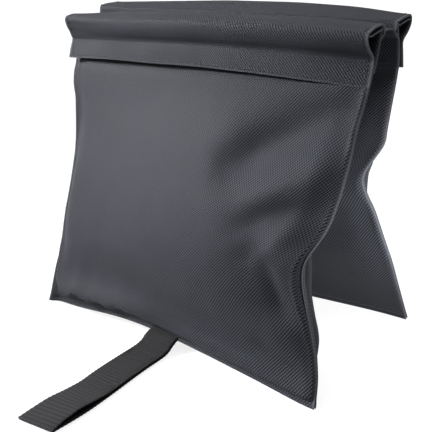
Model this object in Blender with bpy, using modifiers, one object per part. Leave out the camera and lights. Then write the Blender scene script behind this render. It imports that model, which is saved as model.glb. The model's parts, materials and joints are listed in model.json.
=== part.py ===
"""Saddle sandbag: two cloth pouches hung from one saddle strip, closure flaps and a webbing handle.

Metres, +Z up. +X runs along the saddle, the front pouch and its handle lie towards -Y and the rear
pouch towards +Y. Z = 0 is the ground that the bag stands on, as a tent of two leaning pouches.
A pouch is described by how far its middle sheet stands from the saddle's plane, its "lean", and each
cloth lies so far outwards (positive depth) or inwards (negative depth) of that middle sheet.
"""

from dataclasses import dataclass
import math

import bmesh
import bpy
from mathutils import Matrix, Vector
import numpy as np

WIDTH = 0.250  # of each pouch along the saddle, seam margins included
SADDLE_Y = 0.0525  # puts the origin in the middle of the bag's footprint, handle included
PIVOT_Z = 0.2290  # line that both pouches swing about

CLOTH = 0.0010  # coated woven cloth
WEBBING = 0.0015
TAPE = 0.0008  # hook tape and loop tape
FILM = 0.0005  # liner
THREAD_RADIUS = 0.00035
GAP = 0.0003  # between pieces that touch

SEAM_MARGIN = 0.0070  # flat edge outside the stitching
SWELL_RUN = 0.0550  # from the stitching to where a pouch has its full thickness
BULGE_OUT = 0.0120
BULGE_IN = 0.0055
MOUTH_SWELL = 0.15  # share of the bulge that is left at the mouth
MOUTH_DROP = 0.0205  # outer cloth's top edge, below the flap's outer edge
LINER_INSET = 0.0350  # liner's edge, inside the pouch's sewn edges
LINER_CLEAR = 0.0027  # liner's inner face, inside the pouch's cloths
LINER_TOP = 0.150
RIM_HALF = 0.0003  # least half thickness of what lies in the pouch
SAND_INSET = 0.0430
SAND_CLEAR = 0.0045
SAND_TOP = 0.122

FLAP_CLOTH = 0.0013
FLAP_START = 0.0086  # flap's folded edge, from the saddle's plane
FLAP_OUT = 0.0290  # how far the flap's top reaches
BAND_DROP = 0.0330  # how far the flap hangs down outside the pouch
TAPE_WIDTH = 0.220
HOOK_HEIGHT = 0.0095
LOOP_HEIGHT = 0.0110
LOOP_DROP = 0.0005  # loop tape's upper edge, below the outer cloth's
HOOK_RISE = 0.0008  # hook tape's lower edge, above the band's
BAND_STITCH_RISE = 0.0030

STRIP_HALF_SPAN = 0.0060  # half of the strip's width over the saddle
STRIP_DROP = 0.0065  # strip's top, below the pivot line
STRIP_TURN = 0.0030  # radius of its two bends
STRIP_LEG = 0.0090  # length of each end, sewn down on a pouch
SADDLE_STITCH_DROP = 0.0230  # stitches that hold it, below the pouch's top

HANDLE_WIDTH = 0.0254
HANDLE_START = 0.0672  # sewn end's turning line, from the saddle's plane
HANDLE_START_Z = 0.0068
HANDLE_END = 0.1835  # far fold
HANDLE_DOWN = 0.0840  # where it reaches the ground
HANDLE_EYE = 0.0046  # clear height inside the loop
HANDLE_SEWN = 0.0008  # how far its two plies pass the turning line
EYE_FLAT = 0.0400  # from the far fold to where the upper ply comes down
EYE_END = 0.0600  # and to where it meets the lower ply
BOX_START, BOX_LENGTH = 0.0030, 0.0150  # stitched box, from where the webbing reaches the ground
BOX_INSET = 0.0030  # of that box from the webbing's edges
BOX_GAP = 0.0020  # between the ends of its one run of thread

ACROSS = 16  # cells of a pouch's cloth along the saddle
UP = 16  # cells of a pouch's cloth from the foot to the top
FILLING_ACROSS = 10
EASE = 0.018  # rounds the bends of a pouch's lean
INSET_EASE = 0.006  # rounds the bends of its sides


@dataclass
class Pouch:
    """One pouch: side is -1 at the front and 1 at the rear.

    Each lean is (height, distance), and each inset is (height, how far that side is drawn in), both
    in millimetres.
    """

    name: str
    side: int
    top: float
    lean_left: list
    lean_right: list
    inset_left: list
    inset_right: list
    foot_bow: float
    foot_lift: float
    foot_skew: float  # below 1 moves the lift's peak towards -X
    flap_rise: float


FRONT = Pouch(
    name="front",
    side=-1,
    top=0.2280,
    lean_left=[(0, 69), (39, 53), (86, 40), (150, 26), (184, 22), (228, 9.6)],
    lean_right=[(0, 67), (35, 57.5), (78, 58.5), (150, 36), (193, 19), (228, 9.6)],
    inset_left=[(0, 0), (28, 0.5), (47, 2.6), (72, 1.4), (95, 3.2), (144, 4.4), (172, 0)],
    inset_right=[(0, 0), (14, 3), (46, 10), (65, 15), (79, 17), (91, 16), (103, 11), (131, 3), (150, 0)],
    foot_bow=0.004,
    foot_lift=0.0095,
    foot_skew=0.72,
    flap_rise=-0.0035,
)
REAR = Pouch(
    name="rear",
    side=1,
    top=0.2280,
    lean_left=[(0, 78), (56, 56), (110, 38), (160, 25), (204, 16.5), (228, 9.6)],
    lean_right=[(0, 78), (56, 49), (100, 30), (127, 17.5), (204, 16.5), (228, 9.6)],
    inset_left=[(0, 0), (60, 2), (130, 3), (180, 0)],
    inset_right=[(0, 0), (56, 5), (100, 13), (127, 18), (138, 12), (149, 5), (160, 3), (204, 0)],
    foot_bow=0.012,
    foot_lift=0.0020,
    foot_skew=1.0,
    flap_rise=0.0045,
)


# ---- scene and small tools ----


def clear_scene():
    for old in list(bpy.data.objects):
        bpy.data.objects.remove(old, do_unlink=True)


def material(name, colour, roughness, metallic=0.0):
    made = bpy.data.materials.new(name)
    made.use_nodes = True
    shader = made.node_tree.nodes["Principled BSDF"]
    shader.inputs["Base Color"].default_value = (*colour, 1.0)
    shader.inputs["Roughness"].default_value = roughness
    shader.inputs["Metallic"].default_value = metallic
    return made


def pivot(name, y, z, parent=None):
    """An empty on a joint's axis, which runs along X."""
    empty = bpy.data.objects.new(name, None)
    empty.location = (0, y, z)
    PARTS.objects.link(empty)
    if parent:
        empty.parent = parent
        empty.location = Vector((0, y, z)) - world_place(parent)
    return empty


def world_place(empty):
    place = Vector(empty.location)
    while empty.parent:
        empty = empty.parent
        place += empty.location
    return place


def add_part(name, data, holder, look):
    """Put a mesh or curve, made in world coordinates, on its pivot as the part called name."""
    data.transform(Matrix.Translation(-world_place(holder)))
    part = bpy.data.objects.new(name, data)
    part.parent = holder
    data.materials.append(look)
    PARTS.objects.link(part)
    return part


def grid_mesh(name, across, up, place):
    """An open grid whose corner at fractions (u, v) goes to place(u, v)."""
    grid = bmesh.new()
    bmesh.ops.create_grid(grid, x_segments=across, y_segments=up, size=0.5)
    for corner in grid.verts:
        corner.co = place(corner.co.x + 0.5, corner.co.y + 0.5)
    return to_mesh(name, grid)


def block_mesh(name, across, up, place, open_top=False):
    """A cube cut into a grid, whose corner at (u, v, w), each 0 to 1, goes to place(u, v, w)."""
    block = bmesh.new()
    bmesh.ops.create_cube(block, size=1.0)
    for axis, cuts in ((0, across - 1), (2, up - 1)):
        edges = [e for e in block.edges if abs(e.verts[0].co[axis] - e.verts[1].co[axis]) > 0.9]
        bmesh.ops.subdivide_edges(block, edges=edges, cuts=cuts, use_grid_fill=True)
    if open_top:
        lid = [f for f in block.faces if f.normal.z > 0.9]
        bmesh.ops.delete(block, geom=lid, context="FACES")
    for corner in block.verts:
        corner.co = place(corner.co.x + 0.5, corner.co.z + 0.5, corner.co.y + 0.5)
    bmesh.ops.recalc_face_normals(block, faces=block.faces)
    return to_mesh(name, block)


def to_mesh(name, shape):
    mesh = bpy.data.meshes.new(name)
    shape.to_mesh(mesh)
    shape.free()
    mesh.shade_smooth()
    return mesh


def thicken(part, thickness, towards):
    """Give an open sheet its thickness: towards is 1 along its normals and -1 against them."""
    solid = part.modifiers.new("thickness", "SOLIDIFY")
    solid.thickness = thickness
    solid.offset = towards
    solid.use_even_offset = True


def thread_curve(name, points):
    curve = bpy.data.curves.new(name, "CURVE")
    curve.dimensions = "3D"
    curve.bevel_depth = THREAD_RADIUS
    curve.bevel_resolution = 1
    curve.use_fill_caps = True
    run = curve.splines.new("POLY")
    run.points.add(len(points) - 1)
    for knot, place in zip(run.points, points):
        knot.co = (*place, 1.0)
    return curve


def smooth(t):
    t = min(max(t, 0.0), 1.0)
    return t * t * (3 - 2 * t)


# ---- the pouch's shape ----


def eased(profile, z, reach):
    """A profile's value at height z in metres, with its bends rounded."""
    heights, values = np.array(profile).T / 1000
    z = min(max(z, heights[0]), heights[-1])
    ease = min(reach, z - heights[0], heights[-1] - z)
    return float(np.interp(z + np.linspace(-ease, ease, 9), heights, values).mean())


def pouch_point(pouch, u, v, depth):
    """Point at fractions u along the saddle and v up the pouch, at a depth from its middle sheet."""
    middle = math.sin(math.pi * u**pouch.foot_skew) ** 2
    foot = pouch.foot_lift * middle
    z = foot + v * (pouch.top - foot)
    left = -WIDTH / 2 + eased(pouch.inset_left, z, INSET_EASE)
    right = WIDTH / 2 - eased(pouch.inset_right, z, INSET_EASE)
    x = left + u * (right - left)
    at_left, at_right = eased(pouch.lean_left, z, EASE), eased(pouch.lean_right, z, EASE)
    distance = at_left + (at_right - at_left) * smooth(u) - pouch.foot_bow * middle * (1 - v) ** 2
    return Vector((x, SADDLE_Y + pouch.side * (distance + depth), z))


def swell(u, v):
    """Share of the full bulge: none at the sewn edges, and little at the mouth."""
    to_side = max(min(u, 1 - u) * WIDTH, 1e-6)
    to_foot = max(v * FRONT.top, 1e-6)
    near = (to_side**-3 + to_foot**-3) ** (-1 / 3)  # rounds the bulge's corners
    risen = smooth((near - SEAM_MARGIN) / SWELL_RUN)
    return risen * (1 - (1 - MOUTH_SWELL) * smooth((v - 0.30) / 0.60))


def outer_depth(u, v):
    return GAP / 2 + BULGE_OUT * swell(u, v)


def inner_depth(u, v):
    return -(GAP / 2 + BULGE_IN * swell(u, v))


def column(u):
    """Grid fraction whose first and last cells are the seam margins."""
    margin = SEAM_MARGIN / WIDTH
    index = round(u * ACROSS)
    if index in (0, ACROSS):
        return float(index > 0)
    return margin + (index - 1) / (ACROSS - 2) * (1 - 2 * margin)


def row(v, top=1.0):
    """Grid fraction, up to top, whose first cell is the foot's seam margin."""
    margin = SEAM_MARGIN / FRONT.top
    index = round(v * UP)
    return 0.0 if index == 0 else margin + (index - 1) / (UP - 1) * (top - margin)


def mouth(pouch):
    """Fraction up the pouch of the outer cloth's top edge."""
    return 1 - (MOUTH_DROP - pouch.flap_rise) / pouch.top


# ---- a pouch's pieces ----


def outer_panel(pouch, holder):
    def place(u, v):
        u, v = column(u), row(v, mouth(pouch))
        return pouch_point(pouch, u, v, outer_depth(u, v))

    mesh = grid_mesh(f"{pouch.name}_outer_panel", ACROSS, UP, place)
    panel = add_part(f"{pouch.name}_outer_panel", mesh, holder, CANVAS)
    thicken(panel, CLOTH, -pouch.side)


def inner_panel(pouch, holder):
    def place(u, v):
        u, v = column(u), row(v)
        return pouch_point(pouch, u, v, inner_depth(u, v))

    mesh = grid_mesh(f"{pouch.name}_inner_panel", ACROSS, UP, place)
    panel = add_part(f"{pouch.name}_inner_panel", mesh, holder, CANVAS)
    thicken(panel, CLOTH, pouch.side)


def seam_thread(pouch, holder):
    """One run of stitching down a side, along the foot and up the other side, outside the panel."""
    depth = GAP / 2 + CLOTH + GAP + THREAD_RADIUS
    edge_u = SEAM_MARGIN / WIDTH / 2
    edge_v = SEAM_MARGIN / pouch.top / 2
    rows = [row(n / UP, mouth(pouch)) for n in range(1, UP)]
    columns = [column(n / ACROSS) for n in range(1, ACROSS)]
    spots = [(edge_u, v) for v in reversed(rows)] + [(edge_u, edge_v)]
    spots += [(u, edge_v) for u in columns] + [(1 - edge_u, edge_v)]
    spots += [(1 - edge_u, v) for v in rows]
    points = [pouch_point(pouch, u, v, depth) for u, v in spots]
    add_part(f"{pouch.name}_seam_thread", thread_curve("seam", points), holder, THREAD)


def saddle_thread(pouch, holder):
    """Stitching that holds the saddle strip's leg, on the tunnel side of the inner cloth."""
    v = 1 - SADDLE_STITCH_DROP / pouch.top
    points = []
    for n in range(1, ACROSS):
        u = column(n / ACROSS)
        depth = inner_depth(u, v) - CLOTH - 2 * GAP - THREAD_RADIUS
        points.append(pouch_point(pouch, u, v, depth))
    add_part(f"{pouch.name}_saddle_thread", thread_curve("saddle", points), holder, THREAD)


def loop_tape(pouch, holder):
    """Soft half of the closure, sewn on the outer cloth under the flap."""
    low = mouth(pouch) - (LOOP_HEIGHT + LOOP_DROP) / pouch.top

    def place(u, v):
        u = 0.5 + (u - 0.5) * TAPE_WIDTH / WIDTH
        v = low + v * LOOP_HEIGHT / pouch.top
        return pouch_point(pouch, u, v, outer_depth(u, v) + CLOTH + GAP)

    mesh = grid_mesh(f"{pouch.name}_loop_tape", ACROSS, 2, place)
    tape = add_part(f"{pouch.name}_loop_tape", mesh, holder, TAPE_LOOK)
    thicken(tape, TAPE, -pouch.side)


def filling_place(pouch, clearance, inset, top):
    """Places of a block in the pouch's hollow, inset from its edges and clearance inside its cloths."""
    margin = inset / WIDTH

    def place(u, v, w):
        u = margin + u * (1 - 2 * margin)
        v = (inset + v * (top - inset)) / pouch.top
        middle = (outer_depth(u, v) + inner_depth(u, v)) / 2
        half = (outer_depth(u, v) - inner_depth(u, v)) / 2 - clearance
        half = max(half, RIM_HALF)
        return pouch_point(pouch, u, v, middle + half * (2 * w - 1) * pouch.side)

    return place


def liner_bag(pouch, holder):
    """Film bag, open at the top, that keeps the sand from sifting through the cloth."""
    place = filling_place(pouch, LINER_CLEAR, LINER_INSET, LINER_TOP)
    mesh = block_mesh(f"{pouch.name}_liner_bag", FILLING_ACROSS, 8, place, open_top=True)
    liner = add_part(f"{pouch.name}_liner_bag", mesh, holder, LINER_LOOK)
    thicken(liner, FILM, 1)


def sand_fill(pouch, holder):
    place = filling_place(pouch, SAND_CLEAR, SAND_INSET, SAND_TOP)
    mesh = block_mesh(f"{pouch.name}_sand_fill", FILLING_ACROSS, 6, place)
    add_part(f"{pouch.name}_sand_fill", mesh, holder, SAND)


# ---- flap ----


def flap_profile(pouch):
    """The flap's inner face, as (distance from the saddle's plane, height), from its folded edge."""
    top = pouch.top + GAP
    edge = top + pouch.flap_rise
    return [
        (FLAP_START, top),
        (FLAP_OUT - 0.0015, edge - 0.0001),
        (FLAP_OUT, edge - 0.0015),
        (FLAP_OUT - 0.0012, edge - 0.0050),
        (FLAP_OUT - 0.0065, edge - 0.0125),
        (FLAP_OUT - 0.0080, edge - 0.0175),
        (FLAP_OUT - 0.0058, edge - 0.0225),
        (FLAP_OUT - 0.0030, edge - BAND_DROP),
    ]


def flap(pouch, holder):
    profile = flap_profile(pouch)

    def place(u, v):
        distance, z = profile[round(v * (len(profile) - 1))]
        return Vector(((u - 0.5) * WIDTH, SADDLE_Y + pouch.side * distance, z))

    mesh = grid_mesh(f"{pouch.name}_flap", 2, len(profile) - 1, place)
    cover = add_part(f"{pouch.name}_flap", mesh, holder, CANVAS)
    thicken(cover, FLAP_CLOTH, pouch.side)


def band_point(pouch, x, up, depth):
    """Point on the band's straight lower part, up from its edge and depth outwards of its inner face."""
    (above, z_above), (foot, z_foot) = flap_profile(pouch)[-2:]
    along = Vector((above - foot, z_above - z_foot)).normalized()
    spot = Vector((foot, z_foot)) + along * up + Vector((along.y, -along.x)) * depth
    return Vector((x, SADDLE_Y + pouch.side * spot.x, spot.y))


def hook_tape(pouch, holder):
    """Hooked half of the closure, sewn inside the flap's band."""

    def place(u, v):
        return band_point(pouch, (u - 0.5) * TAPE_WIDTH, HOOK_RISE + v * HOOK_HEIGHT, -GAP)

    mesh = grid_mesh(f"{pouch.name}_hook_tape", 2, 2, place)
    tape = add_part(f"{pouch.name}_hook_tape", mesh, holder, TAPE_LOOK)
    thicken(tape, TAPE, pouch.side)


def flap_thread(pouch, holder):
    reach = TAPE_WIDTH / 2
    depth = FLAP_CLOTH + GAP + THREAD_RADIUS
    points = [band_point(pouch, x, BAND_STITCH_RISE, depth) for x in (-reach, reach)]
    add_part(f"{pouch.name}_flap_thread", thread_curve("flap", points), holder, THREAD)


# ---- saddle and handle ----


def saddle_strip(holder):
    """The cloth arch between the two pouches, flat on top where it sits on what it is hung over."""
    top = PIVOT_Z - STRIP_DROP
    low = top - STRIP_TURN
    side = [(STRIP_HALF_SPAN, low - STRIP_LEG)]
    for n in range(4):
        angle = math.radians(30 * n)
        across = STRIP_HALF_SPAN - STRIP_TURN + STRIP_TURN * math.cos(angle)
        side.append((across, low + STRIP_TURN * math.sin(angle)))
    profile = side + [(-y, z) for y, z in reversed(side)]

    def place(u, v):
        y, z = profile[round(v * (len(profile) - 1))]
        return Vector(((u - 0.5) * WIDTH, SADDLE_Y + y, z))

    mesh = grid_mesh("saddle_strip", 2, len(profile) - 1, place)
    strip = add_part("saddle_strip", mesh, holder, CANVAS)
    thicken(strip, CLOTH, -1)


def handle_profile():
    """The middle line of the doubled webbing, as (distance from the saddle's plane, height)."""
    ply = WEBBING / 2
    low, high = ply, ply + WEBBING + GAP
    root = HANDLE_START - HANDLE_SEWN
    root_low = [(root, HANDLE_START_Z - ply - GAP / 2), (HANDLE_DOWN, low)]
    root_high = [(root, HANDLE_START_Z + ply + GAP / 2), (HANDLE_DOWN, high)]
    rise = high + HANDLE_EYE - GAP
    turn = (rise - low) / 2
    end = HANDLE_END - ply - turn
    fold = []
    for n in range(7):
        angle = math.radians(-90 + 30 * n)
        fold.append((end + turn * math.cos(angle), low + turn + turn * math.sin(angle)))
    eye = [(end - EYE_FLAT, rise), (end - EYE_END, high)]
    return root_low + fold + eye + root_high[::-1]


def handle(holder):
    profile = handle_profile()

    def place(u, v):
        distance, z = profile[round(v * (len(profile) - 1))]
        return Vector(((u - 0.5) * HANDLE_WIDTH, SADDLE_Y - distance, z))

    mesh = grid_mesh("handle_webbing", 1, len(profile) - 1, place)
    webbing = add_part("handle_webbing", mesh, holder, WEBBING_LOOK)
    thicken(webbing, WEBBING, 0)


def handle_stitch(holder):
    """One run of stitching across the handle's two plies, next to its sewn end."""
    high = 2 * (WEBBING + GAP) + THREAD_RADIUS
    reach = HANDLE_WIDTH / 2 - BOX_INSET
    near = HANDLE_DOWN + BOX_START
    far = near + BOX_LENGTH
    corners = [(-reach, near), (reach, near), (reach, far), (-reach, far), (-reach, near + BOX_GAP)]
    points = [Vector((x, SADDLE_Y - d, high)) for x, d in corners]
    add_part("handle_stitch", thread_curve("handle", points), holder, THREAD)


# ---- the whole bag ----

clear_scene()
PARTS = bpy.data.collections.new("saddle_sandbag")
bpy.context.scene.collection.children.link(PARTS)

CANVAS = material("charcoal_canvas", (0.075, 0.080, 0.092), 0.75)
WEBBING_LOOK = material("dark_webbing", (0.050, 0.052, 0.060), 0.80)
TAPE_LOOK = material("black_hook_and_loop", (0.030, 0.030, 0.032), 0.90)
THREAD = material("charcoal_thread", (0.060, 0.063, 0.070), 0.70)
LINER_LOOK = material("clear_film", (0.800, 0.820, 0.840), 0.30)
SAND = material("dry_sand", (0.560, 0.470, 0.330), 0.95)

saddle = pivot("saddle_pivot", SADDLE_Y, PIVOT_Z)
saddle_strip(saddle)
for pouch in (FRONT, REAR):
    swing = pivot(f"{pouch.name}_pouch_pivot", SADDLE_Y, PIVOT_Z, saddle)
    for piece in (outer_panel, inner_panel, seam_thread, saddle_thread, loop_tape, liner_bag, sand_fill):
        piece(pouch, swing)
    fold_y = SADDLE_Y + pouch.side * FLAP_START
    fold = pivot(f"{pouch.name}_flap_pivot", fold_y, pouch.top + GAP, swing)
    for piece in (flap, hook_tape, flap_thread):
        piece(pouch, fold)
    if pouch is FRONT:
        grip = pivot("handle_pivot", SADDLE_Y - HANDLE_START, HANDLE_START_Z, swing)
        handle(grip)
        handle_stitch(grip)
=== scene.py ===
from dataclasses import dataclass
from functools import partial
import json
import math

import bpy
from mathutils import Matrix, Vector, noise
import numpy as np


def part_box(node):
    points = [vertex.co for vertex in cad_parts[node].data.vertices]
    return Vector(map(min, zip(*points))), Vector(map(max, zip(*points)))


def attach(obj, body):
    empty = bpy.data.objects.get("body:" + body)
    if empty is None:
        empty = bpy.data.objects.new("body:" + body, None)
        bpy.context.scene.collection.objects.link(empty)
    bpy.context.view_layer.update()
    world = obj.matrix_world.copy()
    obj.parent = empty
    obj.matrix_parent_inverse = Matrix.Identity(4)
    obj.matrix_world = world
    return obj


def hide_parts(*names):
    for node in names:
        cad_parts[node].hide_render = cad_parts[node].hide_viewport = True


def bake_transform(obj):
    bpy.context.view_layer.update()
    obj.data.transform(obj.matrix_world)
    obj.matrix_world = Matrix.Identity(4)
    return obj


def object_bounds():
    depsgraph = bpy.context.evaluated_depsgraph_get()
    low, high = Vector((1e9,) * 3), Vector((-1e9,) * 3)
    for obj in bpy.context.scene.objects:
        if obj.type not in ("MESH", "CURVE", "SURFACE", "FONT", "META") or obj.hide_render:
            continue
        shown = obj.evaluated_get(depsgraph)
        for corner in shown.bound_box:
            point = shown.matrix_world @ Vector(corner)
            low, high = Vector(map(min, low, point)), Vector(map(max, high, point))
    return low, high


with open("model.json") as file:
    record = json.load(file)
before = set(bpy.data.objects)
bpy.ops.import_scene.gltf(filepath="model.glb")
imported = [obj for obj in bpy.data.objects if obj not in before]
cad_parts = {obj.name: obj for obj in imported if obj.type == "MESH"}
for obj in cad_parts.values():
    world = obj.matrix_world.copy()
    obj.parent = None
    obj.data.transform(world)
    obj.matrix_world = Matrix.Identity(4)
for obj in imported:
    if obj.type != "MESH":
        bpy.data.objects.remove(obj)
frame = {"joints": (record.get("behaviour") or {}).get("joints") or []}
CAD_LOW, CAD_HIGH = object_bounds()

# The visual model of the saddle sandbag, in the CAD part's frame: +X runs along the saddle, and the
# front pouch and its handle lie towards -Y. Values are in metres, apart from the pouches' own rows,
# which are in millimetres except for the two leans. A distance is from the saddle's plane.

JOINTS = {joint["name"]: joint for joint in frame["joints"]}
SADDLE_Y = JOINTS["front_pouch_swing"]["pos_m"][1]
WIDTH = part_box("front_outer_panel")[1].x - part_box("front_outer_panel")[0].x
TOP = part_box("front_inner_panel")[1].z
FLAP_START = SADDLE_Y - JOINTS["front_flap_open"]["pos_m"][1]
STRIP_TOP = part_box("saddle_strip")[1].z

GAP = 0.0003
CLOTH = 0.0010
STITCH_IN = 0.0036  # from a sewn edge to its stitches
SEAM_MARGIN = 0.0070
SWELL_RUN = 0.0550
BULGE_OUT = 0.0108
BULGE_IN = 0.0055
MOUTH_SWELL = 0.20
MOUTH_DROP = 0.0205
EDGE_REACH = 0.030  # how far into the cloth its pushed-out edge shows
EAR_REACH = 0.0060
CHEEK_WIDE, CHEEK_DEEP, CHEEK_REACH = 0.016, 0.013, 0.050  # from the seam to where a cheek is full
TUCK_HEIGHT = 0.0065
SIDE_SEAM = 3.2  # how much narrower the side seams are than the foot's
LEAN_EASE = 0.018

KNEE_HEIGHT, KNEE_REACH = 0.078, 0.030
KNEE_MARGIN = 1.1  # how much of the side seam's narrowness is lost at the knee
KNEE_ROLL = 0.0056  # cloth that swells up beside the knee's seam
KNEE_GROOVE = 0.0026

PUFF = 0.0021  # roll of cloth just inside the stitches
PUCKER, PUCKER_LENGTH = 0.00022, 0.009
BROAD_WAVE, BROAD_LENGTH = 0.0005, 0.055  # unevenness of the cloth
SMALL_WAVE, SMALL_LENGTH = 0.0002, 0.018
FLAP_COVERS = 0.184  # height above which the flap hides the folds

FLAP_CLOTH = 0.0012
FLAP_OUT = 0.0290
BAND_DROP = 0.0330
BAND_SWAY, SWAY_LENGTH = 0.0013, 0.050
BAND_FLUTTER, FLUTTER_LENGTH = 0.0006, 0.022
VALLEY_FILL = 0.35  # share of the valley under the flap's roll that is filled at its middle
CREASE = 0.0012  # dents in the flap's roll
HEM_STITCH_IN = 0.0018
BAND_STITCH_IN = 0.0030  # from the band's side edges
LINING_STOPS = [0, 0.003, 0.0165, 0.0205]  # bends of the lining, along its cloth
STRIP_STOPS = [0, 0.0030, 0.0050, 0.0064, 0.0105, 0.0155, 0.0215, 0.0285]
STRIP_DROPS = [0.0110, 0.0160, 0.0220, 0.0290]  # where the strip lies on the cloth, below its top
STRIP_BEND = 0.0030

TAPE_INSET = 0.015
TAPE_WIDTH = 0.220
LOOP_TAPE, LOOP_HEIGHT = 0.0008, 0.0078
HOOK_TAPE, HOOK_HEIGHT = 0.0004, 0.0095

HANDLE_WIDTH = 0.0254
HANDLE_START, HANDLE_START_Z = 0.0672, 0.0068
HANDLE_DOWN, HANDLE_END = 0.0840, 0.1835  # where the strap has come down to the ground, and its far end
# How far the strap is bowed along the saddle, as (distance, x) in millimetres.
HANDLE_BOW = [(60, 0), (90, 0), (110, 0.9), (132, 2.8), (158, 4.2), (174, 3.2), (186, 2.2)]
HANDLE_SKEW = 0.0038  # how much further one corner of its end reaches than the other
WEBBING = 0.0015
RIB_PITCH = 0.0029
RIB_HEIGHT = 0.00013

WEAVE_MAP = "Weave"
EDGE_HIGHLIGHT_MAP = "Rim"
EDGE_HIGHLIGHT_REACH = 0.0011  # how far in from a cut edge the painted highlight reaches
WEAVE_PITCH = 0.0020
WEAVE_SQUASH = 0.91

CLOTH_DARK, CLOTH_LIGHT = (0.0002, 0.0003, 0.0005), (0.0262, 0.0277, 0.0342)
# Painted highlight: the colour that cut edges are lightened towards, as if they caught the light.
EDGE_HIGHLIGHT_COLOUR = (0.075, 0.079, 0.090)
WEBBING_DARK, WEBBING_LIGHT = (0.0060, 0.0060, 0.0066), (0.0340, 0.0340, 0.0375)
WEBBING_SHADE = (0.0040, 0.0040, 0.0044)  # painted shade: what it darkens to beside the pouch, where the pouch shades it
THREAD_DARK, THREAD_LIGHT = (0.0025, 0.0026, 0.0030), (0.0110, 0.0114, 0.0138)
TAPE_DARK, TAPE_LIGHT = (0.004, 0.004, 0.005), (0.024, 0.024, 0.026)
FILM_DARK, FILM_LIGHT = (0.66, 0.68, 0.70), (0.86, 0.88, 0.90)
SAND_DARK, SAND_LIGHT = (0.36, 0.28, 0.18), (0.78, 0.68, 0.50)
FLOOR_DARK, FLOOR_LIGHT = (0.205, 0.205, 0.205), (0.215, 0.215, 0.215)

WORLD = 0.10
KEY = 2.1
TOP_LIGHT = 3.8
FILL = 0.30
FLOOR_GLOW = 0.82
FLOOR_REACH = 12.0
BACKDROP_RADIUS, BACKDROP_HEIGHT, BACKDROP_SIDES = 11.5, 9.0, 48


@dataclass
class Pouch:
    """The shape of one pouch. Heights, depths, x and pushes are in millimetres, apart from the leans."""

    name: str
    side: int  # -1 at the front and 1 at the rear
    shift: float  # how far the pouch sits along the saddle, in metres
    knee: float  # how strongly its right seam is folded in at the knee, from 0 to 1
    lean_left: list  # (height, distance) of the left edge, in metres
    lean_right: list  # the same for the right edge
    inset_left: list  # (height, how far the left edge is drawn in)
    inset: list  # (height, how far the right edge is drawn in)
    edge: list  # (height, how far the right edge is pushed out of the leaning sheet)
    ear: list  # (height, how far the left edge is turned out)
    cheek: list  # (height, width, depth) of the cloth that swells out past the right edge
    foot_bow: float  # how far the foot's middle is drawn in, in metres
    tuck: float  # how far the left half of the sewn foot is turned under
    foot: list  # (x, height) of the sewn foot
    foot_roll: list  # (x, depth, height) of the cloth that hangs over the sewn foot
    flap_rise: float  # of the flap's outer edge above its sewn one, in metres
    ridge: list  # (x, rise) of the pouch's top, where the flap turns over
    crown: list  # (x, rise) of the flap's outer edge
    end_tuck: float  # how far the flap's roll is drawn in at its left end, in metres
    hem: list  # (x, rise) of the flap's foot
    band: list  # (x, push) of the flap's hanging band, away from the saddle's plane
    outer_folds: list  # (height, reach, [(x, z), ...]) of each fold's ridge or valley
    inner_folds: list
    crest: list  # (height, x) of the belly's highest line
    belly: list  # (height, depth) of the belly, on top of the even bulge


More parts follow.
